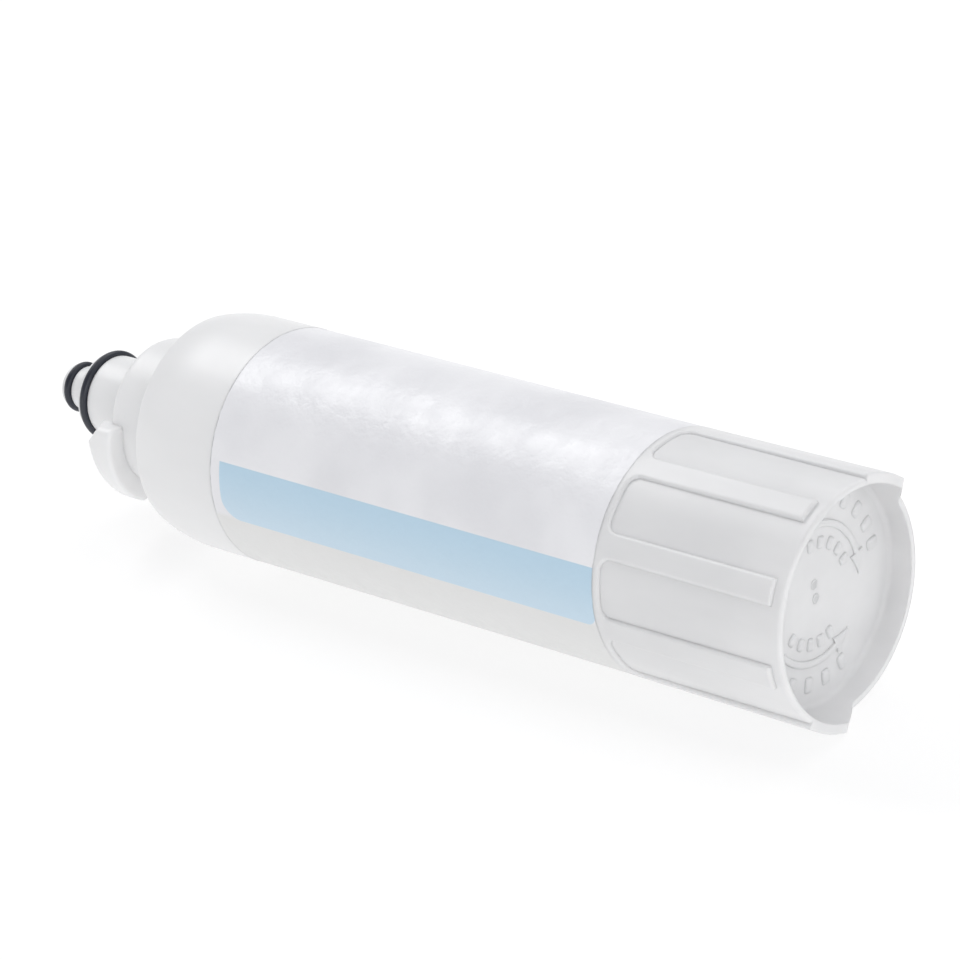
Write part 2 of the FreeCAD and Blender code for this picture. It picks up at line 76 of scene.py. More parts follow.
def shell(name: str, rings: np.ndarray, start: np.ndarray, end: np.ndarray) -> bpy.types.Object:
    """Closed mesh from a stack of rings with a pole at each end.

    Point j of ring i is joined to its neighbours j + 1 and i + 1 by one four-sided face, the last
    point of a ring to its first, and each pole to its ring by a fan. The sign of the volume, the sum
    of a . (b x c) over the triangles, tells whether the faces have to be turned round.

    Args:
        name: Name of the new object.
        rings: Points, shaped (rings, points in a ring, 3).
        start: Pole before the first ring.
        end: Pole after the last ring.

    Returns:
        The new object, with its place in its mesh.
    """
    count, loop = rings.shape[:2]
    points = np.vstack([rings.reshape(-1, 3), start[None], end[None]])
    here = np.arange(loop)
    after = (here + 1) % loop
    base = (np.arange(count - 1) * loop)[:, None]
    ahead = base + loop
    quads = np.stack([base + here, base + after, ahead + after, ahead + here], -1).reshape(-1, 4)
    last = (count - 1) * loop
    first_fan = np.stack([after, here, np.full(loop, count * loop)], -1)
    last_fan = np.stack([last + here, last + after, np.full(loop, count * loop + 1)], -1)
    fans = np.vstack([first_fan, last_fan])
    triangles = np.vstack([quads[:, [0, 1, 2]], quads[:, [0, 2, 3]], fans])
    centred = points - points.mean(0)
    a, b, c = (centred[triangles[:, corner]] for corner in range(3))
    if np.einsum("ij,ij->", a, np.cross(b, c)) < 0:
        quads, fans = quads[:, ::-1], fans[:, ::-1]
    mesh = bpy.data.meshes.new(name)
    mesh.from_pydata(points.tolist(), [], quads.tolist() + fans.tolist())
    mesh.polygons.foreach_set("use_smooth", np.ones(len(mesh.polygons), bool))
    mesh.set_sharp_from_angle(angle=SHARP_ANGLE)
    mesh.update()
    piece = bpy.data.objects.new(name, mesh)
    bpy.context.scene.collection.objects.link(piece)
    return piece


def joined(name: str, pieces: list[bpy.types.Object]) -> bpy.types.Object:
    """One object from several, with the first one's place and the given name.

    Args:
        name: Name of the joined object.
        pieces: Objects to join.

    Returns:
        The joined object.
    """
    bpy.ops.object.select_all(action="DESELECT")
    for piece in pieces:
        piece.select_set(True)
    bpy.context.view_layer.objects.active = pieces[0]
    bpy.ops.object.join()
    pieces[0].name = name
    pieces[0].data.name = name
    return pieces[0]


def on_plate(radius: np.ndarray, angle: np.ndarray) -> np.ndarray:
    """Y and Z of points on the end plate: radius times the sine and the cosine of the angle."""
    return np.stack([radius * np.sin(angle), radius * np.cos(angle)], -1)


@dataclass(frozen=True)
class Relief:
    """Moulded relief on the end plate: where the plate is, and how far marks rise and sink."""

    plate: float
    rise: float = 0.50 * MM
    sink: float = 0.15 * MM
    square: float = 0.75
    full_width: float = 0.35 * MM
    tuck: float = 0.03 * MM

    def band(self, path: np.ndarray, side: np.ndarray, half: np.ndarray) -> np.ndarray:
        """Rings of a raised band along a line on the plate.

        At each step a closed loop stands across the line. Its points lie half times the squared-off
        cosine sideways and rise times the squared-off sine up, or sink times it down in the lower
        half. Squared off means the cosine or sine to the power called square with its sign kept,
        which gives a top a little flatter than an ellipse's. The rise fades with the square root of
        the width where half of it is less than the full width.

        Args:
            path: Y and Z along the line, shaped (steps, 2).
            side: Unit sideways directions, shaped (steps, 2).
            half: Half of the width at each step.

        Returns:
            Rings shaped (steps, LOOP, 3).
        """
        turn = np.linspace(0, 2 * np.pi, LOOP, endpoint=False)
        across = np.sign(np.cos(turn)) * np.abs(np.cos(turn)) ** self.square
        up = np.sign(np.sin(turn)) * np.abs(np.sin(turn)) ** self.square
        height = self.rise * np.minimum(1, np.sqrt(half / self.full_width))
        lift = np.where(up > 0, height[:, None] * up, self.sink * up)
        flat = path[:, None, :] + side[:, None, :] * (half[:, None] * across)[..., None]
        return np.concatenate([(self.plate + lift)[..., None], flat], -1)

    def pole(self, point: np.ndarray) -> np.ndarray:
        """Point at a band's end, tucked just under the plate's skin."""
        return np.array([self.plate - self.tuck, point[0], point[1]])

    def dome(self, name: str, spot: np.ndarray, outline: np.ndarray, ring: np.ndarray,
             height: np.ndarray) -> bpy.types.Object:
        """Raised block with a given outline.

        Each ring is the outline times a share, at a height above the plate, so the outline sweeps up
        from the sunk foot, over the edge and in to the middle of the top.

        Args:
            name: Name of the new object.
            spot: Y and Z of the middle.
            outline: Y and Z of the outline from the middle, shaped (points, 2).
            ring: Share of the outline at each ring.
            height: Height of each ring over the plate.

        Returns:
            The new object.
        """
        flat = spot + ring[:, None, None] * outline[None]
        lift = np.broadcast_to((self.plate + height)[:, None, None], flat.shape[:2] + (1,))
        rings = np.concatenate([lift, flat], -1)
        foot = np.array([self.plate + height[0], spot[0], spot[1]])
        top = np.array([self.plate + height[-1], spot[0], spot[1]])
        return shell(name, rings, foot, top)


@dataclass(frozen=True)
class TurnArrow:
    """Curved arrow that shows a direction of turn."""

    name: str
    turn: Turn
    start: float
    sweep: float
    radius: float = 14.4 * MM
    half: float = 0.80 * MM
    head: float = 5.2 * MM
    barb: float = 2.1 * MM
    blunt: float = 0.05 * MM
    tail_start: float = 0.12
    tail_steps: int = 7
    shaft_steps: int = 48
    head_steps: int = 14

    def build(self, relief: Relief) -> bpy.types.Object:
        """Arrow with a round tail and a pointed head.

        The half width follows a quarter circle at the tail, stays level along the shaft, steps out
        to the barb where the head begins and runs down in a straight line to the tip.

        Args:
            relief: Relief of the plate that it stands on.

        Returns:
            The new object.
        """
        length = math.radians(self.sweep) * self.radius
        tail = self.half * (1 - np.cos(np.linspace(self.tail_start, np.pi / 2, self.tail_steps)))
        shaft = np.linspace(self.half, length - self.head, self.shaft_steps)[1:]
        head = np.linspace(length - self.head, length - self.blunt, self.head_steps)
        along = np.concatenate([tail, shaft, head])
        half = np.concatenate([
            np.sqrt(self.half ** 2 - (self.half - tail) ** 2),
            np.full(len(shaft), self.half),
            self.barb * (length - head) / self.head,
        ])
        angle = math.radians(self.start) + self.turn.value * along / self.radius
        side = on_plate(np.ones_like(angle), angle)
        path = side * self.radius
        rings = relief.band(path, side, half)
        return shell(self.name, rings, relief.pole(path[0]), relief.pole(path[-1]))


@dataclass(frozen=True)
class BlockRow:
    """Row of plain raised blocks along an arc."""

    name: str
    radius: float
    start: float
    stop: float
    count: int
    wide: float = 1.25 * MM
    tall: float = 1.75 * MM
    square: float = 0.5

    def build(self, relief: Relief) -> bpy.types.Object:
        """Blocks upright along their own radii.

        The outline is a superellipse: the signed cosine and sine to the power called square, times
        the half width along the arc and the half height along the radius. The level climbs from the
        sunk foot over a round flank to a crowned top.

        Args:
            relief: Relief of the plate that it stands on.

        Returns:
            The new object.
        """
        turn = np.linspace(0, 2 * np.pi, 2 * LOOP, endpoint=False)
        across = np.sign(np.cos(turn)) * np.abs(np.cos(turn)) ** self.square * self.wide
        along = np.sign(np.sin(turn)) * np.abs(np.sin(turn)) ** self.square * self.tall
        share = np.array([0.6, 1.0, 1.0, 0.93, 0.83, 0.70, 0.52, 0.32, 0.15])
        level = np.array([-0.3, -0.3, 0.02, 0.36, 0.62, 0.82, 0.95, 0.99, 1.0]) * relief.rise
        pieces = []
        for angle in np.radians(np.linspace(self.start, self.stop, self.count)):
            out = on_plate(np.float64(1), angle)
            outline = across[:, None] * np.array([out[1], -out[0]]) + along[:, None] * out
            pieces.append(relief.dome(self.name, self.radius * out, outline, share, level))
        return joined(self.name, pieces)


@dataclass(frozen=True)
class GateMark:
    """Mark of one of the mould's gates: a low, soft ring."""

    name: str
    spot: tuple[float, float]
    ring: float = 1.15 * MM

    def build(self, relief: Relief) -> bpy.types.Object:
        """Surface of revolution about the spot: a round ring that falls to a flat middle.

        Args:
            relief: Relief of the plate that it stands on.

        Returns:
            The new object.
        """
        turn = np.linspace(0, 2 * np.pi, 2 * LOOP, endpoint=False)
        outline = on_plate(np.full(2 * LOOP, self.ring), turn)
        share = np.array([0.8, 1.0, 1.0, 0.93, 0.85, 0.76, 0.67, 0.58, 0.50, 0.30, 0.1])
        level = np.array([-0.2, -0.2, 0.02, 0.16, 0.24, 0.28, 0.24, 0.14, 0.05, 0.03, 0.03]) * relief.rise
        return relief.dome(self.name, np.array(self.spot), outline, share, level)


class Wiring:
    """Short way to add shader nodes to one tree and to join them."""

    def __init__(self, tree: bpy.types.NodeTree) -> None:
        """Keep the tree that the nodes go into."""
        self.tree = tree

    def add(self, kind: str, inputs: dict | None = None, **settings: object) -> bpy.types.Node:
        """Add one node.

        Args:
            kind: Node type without its ShaderNode prefix.
            inputs: Value or output socket for each input, by name or number.
            settings: Properties of the node itself.

        Returns:
            The new node.
        """
        node = self.tree.nodes.new("ShaderNode" + kind)
        for name, setting in settings.items():
            setattr(node, name, setting)
        for key, entry in (inputs or {}).items():
            if isinstance(entry, bpy.types.NodeSocket):
                self.tree.links.new(entry, node.inputs[key])
            else:
                node.inputs[key].default_value = entry
        return node

    def math(self, operation: str, *terms: object) -> bpy.types.NodeSocket:
        """Output of a Math node with the given terms."""
        return self.add("Math", dict(enumerate(terms)), operation=operation).outputs[0]

    def ramp(self, source: bpy.types.NodeSocket, low: float, high: float, to_low: float = 0.0,
             to_high: float = 1.0) -> bpy.types.NodeSocket:
        """Smooth clamped change from to_low to to_high while the source goes from low to high."""
        node = self.add("MapRange", {0: source, 1: low, 2: high, 3: to_low, 4: to_high},
                        interpolation_type="SMOOTHSTEP")
        return node.outputs[0]

    def mix(self, share: object, first: object, second: object) -> bpy.types.NodeSocket:
        """Colour between two colours."""
        return self.add("Mix", {0: share, 6: first, 7: second}, data_type="RGBA").outputs[2]

    def noise(self, place: bpy.types.NodeSocket, scale: object, detail: float = 3.0,
              rough: float = 0.5) -> bpy.types.NodeSocket:
        """Value of a noise texture at a place."""
        inputs = {"Vector": place, "Scale": scale, "Detail": detail, "Roughness": rough}
        return self.add("TexNoise", inputs).outputs["Fac"]

    def place(self) -> bpy.types.NodeSocket:
        """Object coordinates, which are the row's own coordinates in metres."""
        return self.add("TexCoord").outputs["Object"]


def new_group(name: str, inputs: dict[str, float], outputs: dict[str, str]) -> tuple[Wiring, dict, dict]:
    """Empty shader node group.

    Args:
        name: Name of the group.
        inputs: Default of each number that goes in.
        outputs: Socket type of each value that comes out.

    Returns:
        The group's wiring, its input sockets and its output sockets, by name.
    """
    tree = bpy.data.node_groups.new(name, "ShaderNodeTree")
    for title, default in inputs.items():
        socket = tree.interface.new_socket(title, in_out="INPUT", socket_type="NodeSocketFloat")
        socket.default_value = default
    for title, kind in outputs.items():
        tree.interface.new_socket(title, in_out="OUTPUT", socket_type=kind)
    source, sink = tree.nodes.new("NodeGroupInput"), tree.nodes.new("NodeGroupOutput")
    return (Wiring(tree), {title: source.outputs[title] for title in inputs},
            {title: sink.inputs[title] for title in outputs})


def mould_skin() -> bpy.types.NodeTree:
    """Group for moulded plastic: cloudy flow in the wall, uneven sheen and a fine eroded grain.

    Returns:
        The group, with Shade, Roughness and Height coming out.
    """
    wires, given, made = new_group(
        "mould_skin", {"Cloud": 0.03, "Sheen": 0.4, "Spread": 0.08, "Grain": 0.2},
        {"Shade": "NodeSocketFloat", "Roughness": "NodeSocketFloat", "Height": "NodeSocketFloat"})
    place = wires.place()
    stretched = wires.add("Mapping", {"Vector": place, "Scale": (0.35, 1.0, 1.0)}).outputs[0]
    cloud = wires.math("SUBTRACT", wires.noise(stretched, 55.0, 4.0, 0.55), 0.5)
    shade = wires.math("MULTIPLY_ADD", cloud, given["Cloud"], 1.0)
    patch = wires.math("SUBTRACT", wires.noise(place, 140.0, 3.0, 0.6), 0.5)
    rough = wires.math("MULTIPLY_ADD", patch, given["Spread"], given["Sheen"])
    fine = wires.noise(place, 2600.0, 2.0, 0.5)
    wave = wires.noise(stretched, 90.0, 2.0, 0.4)
    height = wires.math("MULTIPLY_ADD", fine, given["Grain"], wave)
    wires.tree.links.new(shade, made["Shade"])
    wires.tree.links.new(rough, made["Roughness"])
    wires.tree.links.new(height, made["Height"])
    return wires.tree


def dust_film() -> bpy.types.NodeTree:
    """Group for handling marks: faint specks, only where a wide soft smear lies.

    Returns:
        The group, with the Mask of the specks coming out.
    """
    wires, given, made = new_group(
        "dust_film", {"Amount": 0.08, "Scale": 400.0}, {"Mask": "NodeSocketFloat"})
    place = wires.place()
    speck = wires.add("TexVoronoi", {"Vector": place, "Scale": given["Scale"]}).outputs["Distance"]
    dots = wires.ramp(speck, 0.05, 0.16, 1.0, 0.0)
    smear = wires.ramp(wires.noise(place, 30.0, 4.0, 0.6), 0.45, 0.75)
    mask = wires.math("MULTIPLY", wires.math("MULTIPLY", dots, smear), given["Amount"])
    wires.tree.links.new(mask, made["Mask"])
    return wires.tree


@dataclass(frozen=True)
class MouldedPlastic:
    """Satin moulded plastic that lets a little light into its wall."""

    name: str
    colour: tuple[float, float, float]
    deep: tuple[float, float, float]
    sheen: float = 0.36
    spread: float = 0.10
    cloud: float = 1.6
    grain: float = 0.25
    glow: float = 0.35
    depth: float = 2.2 * MM
    edge: float = 0.6 * MM
    # Painted glow: how much lighter the colour is painted at the nozzle, and the span along X over which
    # that fades out.
    painted_glow: float = 0.0
    painted_glow_from: float = -10 * MM
    painted_glow_to: float = 140 * MM
    relief: float = 0.12
    relief_depth: float = 0.12 * MM
    dust_tone: tuple[float, float, float] = (0.62, 0.61, 0.60)

    def make(self, skin: bpy.types.NodeTree, dust: bpy.types.NodeTree) -> bpy.types.Material:
        """Material with the skin group for colour, sheen and grain, and soft edges from a bevel.

        Towards the nozzle, whose walls are slimmer, more light comes into the wall. That light is painted
        into the colour as a painted glow, which makes it lighter there by the share set for it.

        Args:
            skin: Group for the moulded skin.
            dust: Group for handling marks.

        Returns:
            The material.
        """
        material = bpy.data.materials.new(self.name)
        material.use_nodes = True
        wires = Wiring(material.node_tree)
        shader = material.node_tree.nodes["Principled BSDF"]
        look = {"Cloud": self.cloud, "Sheen": self.sheen, "Spread": self.spread, "Grain": self.grain}
        moulded = wires.add("Group", look, node_tree=skin)
        marks = wires.add("Group", node_tree=dust)
        share = wires.ramp(moulded.outputs["Shade"], 0.6, 1.4)
        colour = wires.mix(share, (*self.deep, 1.0), (*self.colour, 1.0))
        along = wires.add("SeparateXYZ", {0: wires.place()}).outputs[0]
        # Painted glow: the colour is painted lighter towards the nozzle, in place of light that comes
        # into the slimmer wall.
        glow_share = wires.ramp(along, self.painted_glow_from, self.painted_glow_to, self.painted_glow, 0.0)
        glowing = wires.mix(glow_share, colour, (1.0, 1.0, 1.0, 1.0))
        dusted = wires.mix(marks.outputs["Mask"], glowing, (*self.dust_tone, 1.0))
        soft = wires.add("Bevel", {"Radius": self.edge}, samples=4).outputs[0]
        relief = {"Strength": self.relief, "Distance": self.relief_depth,
                  "Height": moulded.outputs["Height"], "Normal": soft}
        bump = wires.add("Bump", relief).outputs[0]
        links = material.node_tree.links
        links.new(dusted, shader.inputs["Base Color"])
        links.new(moulded.outputs["Roughness"], shader.inputs["Roughness"])
        links.new(bump, shader.inputs["Normal"])
        shader.inputs["IOR"].default_value = 1.49
        shader.inputs["Subsurface Weight"].default_value = self.glow
        shader.inputs["Subsurface Radius"].default_value = (1.0, 0.97, 0.94)
        shader.inputs["Subsurface Scale"].default_value = self.depth
        return material


@dataclass(frozen=True)
class SealRubber:
    """Blue-black elastomer with the fine flash line of its mould round the outside."""

    name: str
    middle: float
    mean: float
    colour: tuple[float, float, float] = (0.006, 0.009, 0.019)
    worn: tuple[float, float, float] = (0.028, 0.032, 0.045)
    line_tone: tuple[float, float, float] = (0.05, 0.055, 0.07)
    dust_tone: tuple[float, float, float] = (0.10, 0.10, 0.11)
    line_core: float = 0.05 * MM
    line_edge: float = 0.13 * MM
    line_share: float = 0.5
    line_rise: float = 1.5
    outer_band: float = 0.3 * MM
    relief: float = 0.25
    relief_depth: float = 0.08 * MM

    def make(self, skin: bpy.types.NodeTree, dust: bpy.types.NodeTree) -> bpy.types.Material:
        """Material with a fine line where the ring is widest, and a greased, uneven sheen.

        Args:
            skin: Group for the moulded skin.
            dust: Group for handling marks.

        Returns:
            The material.
        """
        material = bpy.data.materials.new(self.name)
        material.use_nodes = True
        wires = Wiring(material.node_tree)
        shader = material.node_tree.nodes["Principled BSDF"]
        look = {"Cloud": 2.0, "Sheen": 0.38, "Spread": 0.12, "Grain": 0.5}
        moulded = wires.add("Group", look, node_tree=skin)
        marks = wires.add("Group", {"Amount": 0.5, "Scale": 900.0}, node_tree=dust)
        axis = wires.add("SeparateXYZ", {0: wires.place()})
        away = wires.math("ABSOLUTE", wires.math("SUBTRACT", axis.outputs[0], self.middle))
        spread = wires.math("SQRT", wires.math(
            "ADD", wires.math("POWER", axis.outputs[1], 2.0), wires.math("POWER", axis.outputs[2], 2.0)))
        outside = wires.ramp(spread, self.mean, self.mean + self.outer_band)
        line = wires.math("MULTIPLY", wires.ramp(away, self.line_core, self.line_edge, 1.0, 0.0), outside)
        share = wires.ramp(moulded.outputs["Shade"], 0.7, 1.5)
        base = wires.mix(share, (*self.colour, 1.0), (*self.worn, 1.0))
        paled = wires.math("MULTIPLY", line, self.line_share)
        lined = wires.mix(paled, base, (*self.line_tone, 1.0))
        dusted = wires.mix(marks.outputs["Mask"], lined, (*self.dust_tone, 1.0))
        height = wires.math("MULTIPLY_ADD", line, self.line_rise, moulded.outputs["Height"])
        relief = {"Strength": self.relief, "Distance": self.relief_depth, "Height": height}
        bump = wires.add("Bump", relief).outputs[0]
        links = material.node_tree.links
        links.new(dusted, shader.inputs["Base Color"])
        links.new(moulded.outputs["Roughness"], shader.inputs["Roughness"])
        links.new(bump, shader.inputs["Normal"])
        shader.inputs["IOR"].default_value = 1.52
        return material


@dataclass(frozen=True)
class LabelFilm:
    """Glossy film label with one colour field, wrapped round the housing.

    The field is a rectangle on the unrolled film, along X and along the arc, with two round corners.
    """

    name: str = "label_film"
    radius: float = 26.95 * MM
    start: float = 42.6 * MM
    end: float = 152.6 * MM
    field_start: float = 45.4 * MM
    field_end: float = 152.6 * MM
    field_top: float = 71.3
    field_bottom: float = 99.8
    left_round: float = 5.0 * MM
    right_round: float = 2.7 * MM
    soft: float = 0.10 * MM
    fade_above: float = 1.2 * MM
    fade_below: float = 0.4 * MM
    # Width, and scale of the breaking noise, of the painted shadow along the film's two ends.
    shadow_width: float = 0.35 * MM
    shadow_break_scale: float = 260.0
    cloud_scale: float = 46.0
    ripple_scale: float = 230.0
    ripple_share: float = 0.36
    relief: float = 0.50
    relief_depth: float = 1.6 * MM
    roughness: tuple[float, float] = (0.30, 0.40)
    white: tuple[float, float, float] = (0.84, 0.84, 0.862)
    cloudy: tuple[float, float, float] = (0.765, 0.765, 0.79)
    plain: tuple[float, float, float] = (0.73, 0.73, 0.725)
    field: tuple[float, float, float] = (0.49, 0.66, 0.79)
    pale: tuple[float, float, float] = (0.55, 0.69, 0.80)
    # Tone of the painted shadow along the film's two ends.
    edge_shadow_tone: tuple[float, float, float] = (0.36, 0.36, 0.38)
    dust_tone: tuple[float, float, float] = (0.60, 0.60, 0.60)

    def field_arcs(self) -> tuple[float, float]:
        """Lengths of arc from straight up to the field's upper and lower edges."""
        return math.radians(self.field_top) * self.radius, math.radians(self.field_bottom) * self.radius

    def field_mask(self, wires: Wiring, along: bpy.types.NodeSocket,
                   arc: bpy.types.NodeSocket) -> bpy.types.NodeSocket:
        """Mask of the colour field.

        The distance to a rounded corner is that of a point outside a smaller box: the length of the
        part of its offset that lies past the corner's centre, less the corner's radius. Above the
        middle the corners are square.

        Args:
            wires: Wiring of the material.
            along: X of the point.
            arc: Length of arc from straight up to the point.

        Returns:
            Socket that is 1 inside the field and 0 outside.
        """
        top, bottom = self.field_arcs()

        def corner(round_off: float, past: bpy.types.NodeSocket) -> bpy.types.NodeSocket:
            """Distance outside the lower edge and one end, with their corner rounded.

            Args:
                round_off: Radius of the corner.
                past: Distance past the centre of the corner, along X.

            Returns:
                Socket with the distance, below zero inside.
            """
            low = wires.math("MAXIMUM", wires.math("SUBTRACT", arc, bottom - round_off), 0.0)
            out = wires.math("MAXIMUM", past, 0.0)
            square = wires.math("ADD", wires.math("POWER", low, 2.0), wires.math("POWER", out, 2.0))
            return wires.math("SUBTRACT", wires.math("SQRT", square), round_off)

        left = corner(self.left_round, wires.math("SUBTRACT", self.field_start + self.left_round, along))
        right = corner(self.right_round, wires.math("SUBTRACT", along, self.field_end - self.right_round))
        above = wires.math("SUBTRACT", top, arc)
        outside = wires.math("MAXIMUM", wires.math("MAXIMUM", left, right), above)
        return wires.ramp(outside, -self.soft, self.soft, 1.0, 0.0)

    def make(self, dust: bpy.types.NodeTree) -> bpy.types.Material:
        """Material with the field, clear film under it, painted shadow along both ends of the film and
        the film's soft ripple.

        Args:
            dust: Group for handling marks.

        Returns:
            The material.
        """
        material = bpy.data.materials.new(self.name)
        material.use_nodes = True
        wires = Wiring(material.node_tree)
        shader = material.node_tree.nodes["Principled BSDF"]
        place = wires.place()
        axis = wires.add("SeparateXYZ", {0: place})
        angle = wires.math("ARCTAN2", wires.math("MULTIPLY", axis.outputs[1], -1.0), axis.outputs[2])
        arc = wires.math("MULTIPLY", angle, self.radius)
        mask = self.field_mask(wires, axis.outputs[0], arc)
        blotch = wires.noise(place, self.cloud_scale, 2.0, 0.5)
        ripple = wires.noise(place, self.ripple_scale, 3.0, 0.6)
        clouded = wires.mix(wires.ramp(blotch, 0.32, 0.68), (*self.cloudy, 1.0), (*self.white, 1.0))
        top, bottom = self.field_arcs()
        below = wires.ramp(arc, bottom - self.fade_above, bottom + self.fade_below)
        paper = wires.mix(below, clouded, (*self.plain, 1.0))
        ink = wires.mix(wires.ramp(arc, top, bottom), (*self.field, 1.0), (*self.pale, 1.0))
        printed = wires.mix(mask, paper, ink)
        # Painted shadow: a dark line along both ends of the film stands in for the shade at its raised
        # edge. Noise breaks it up, and it mostly fades out below the field.
        inside_start = wires.math("SUBTRACT", axis.outputs[0], self.start)
        inside_end = wires.math("SUBTRACT", self.end, axis.outputs[0])
        near_start = wires.ramp(inside_start, 0.0, self.shadow_width, 1.0, 0.0)
        near_end = wires.ramp(inside_end, 0.0, self.shadow_width, 1.0, 0.0)
        broken = wires.ramp(wires.noise(place, self.shadow_break_scale, 2.0, 0.5), 0.38, 0.62, 0.10, 0.70)
        edge_shadow = wires.math("MULTIPLY", wires.math("MAXIMUM", near_start, near_end), broken)
        kept = wires.math("SUBTRACT", 1.0, wires.math("MULTIPLY", below, 0.9))
        edge = wires.math("MULTIPLY", edge_shadow, kept)
        shadowed = wires.mix(edge, printed, (*self.edge_shadow_tone, 1.0))
        marks = wires.add("Group", {"Amount": 0.05, "Scale": 300.0}, node_tree=dust)
        dusted = wires.mix(marks.outputs["Mask"], shadowed, (*self.dust_tone, 1.0))
        rough = wires.ramp(ripple, 0.3, 0.7, *self.roughness)
        height = wires.math("MULTIPLY_ADD", ripple, self.ripple_share, blotch)
        relief = {"Strength": self.relief, "Distance": self.relief_depth, "Height": height}
        bump = wires.add("Bump", relief).outputs[0]
        links = material.node_tree.links
        links.new(dusted, shader.inputs["Base Color"])
        links.new(rough, shader.inputs["Roughness"])
        links.new(bump, shader.inputs["Normal"])
        shader.inputs["IOR"].default_value = 1.47
        return material


@dataclass(frozen=True)
class PressedCarbon:
    """Matt black block of pressed granules."""

    name: str = "pressed_carbon"
    grain: float = 1400.0
    granule: tuple[float, float, float] = (0.030, 0.030, 0.032)
    joint: tuple[float, float, float] = (0.008, 0.008, 0.009)

    def make(self) -> bpy.types.Material:
        """Material with cells of granules, each lighter in its middle and proud of its dark joints.

        Returns:
            The material.
        """
        material = bpy.data.materials.new(self.name)
        material.use_nodes = True
        wires = Wiring(material.node_tree)
        shader = material.node_tree.nodes["Principled BSDF"]
        place = wires.place()
        cells = wires.add("TexVoronoi", {"Vector": place, "Scale": self.grain})
        shade = wires.ramp(cells.outputs["Distance"], 0.0, 0.7)
        colour = wires.mix(shade, (*self.granule, 1.0), (*self.joint, 1.0))
        relief = {"Strength": 0.7, "Distance": 0.25 * MM, "Height": cells.outputs["Distance"]}
        bump = wires.add("Bump", relief, invert=True).outputs[0]
        links = material.node_tree.links
        links.new(colour, shader.inputs["Base Color"])
        links.new(wires.ramp(wires.noise(place, 300.0), 0.3, 0.7, 0.75, 0.95), shader.inputs["Roughness"])
        links.new(bump, shader.inputs["Normal"])
        return material


@dataclass(frozen=True)
class Fleece:
    """Off-white non-woven fleece with crossing fibres."""

    name: str = "fleece"
    fibre_scale: float = 2600.0
    fibre_tone: tuple[float, float, float] = (0.86, 0.86, 0.84)
    gap_tone: tuple[float, float, float] = (0.62, 0.62, 0.60)

    def make(self) -> bpy.types.Material:
        """Material with two stretched noises for the fibres, at right angles to each other.

        Returns:
            The material.
        """
        material = bpy.data.materials.new(self.name)
        material.use_nodes = True
        wires = Wiring(material.node_tree)
        shader = material.node_tree.nodes["Principled BSDF"]
        place = wires.place()
        along = wires.add("Mapping", {"Vector": place, "Scale": (0.08, 1.0, 1.0)}).outputs[0]
        around = wires.add("Mapping", {"Vector": place, "Scale": (1.0, 0.2, 0.2)}).outputs[0]
        fibre = wires.math("MAXIMUM", wires.noise(along, self.fibre_scale, 2.0),
                           wires.noise(around, self.fibre_scale, 2.0))
        share = wires.ramp(fibre, 0.4, 0.75)
        colour = wires.mix(share, (*self.gap_tone, 1.0), (*self.fibre_tone, 1.0))
        bump = wires.add("Bump", {"Strength": 0.6, "Distance": 0.2 * MM, "Height": fibre}).outputs[0]
        links = material.node_tree.links
        links.new(colour, shader.inputs["Base Color"])
        links.new(wires.ramp(fibre, 0.3, 0.8, 0.98, 0.85), shader.inputs["Roughness"])
        links.new(bump, shader.inputs["Normal"])
        shader.inputs["Sheen Weight"].default_value = 0.3
        return material


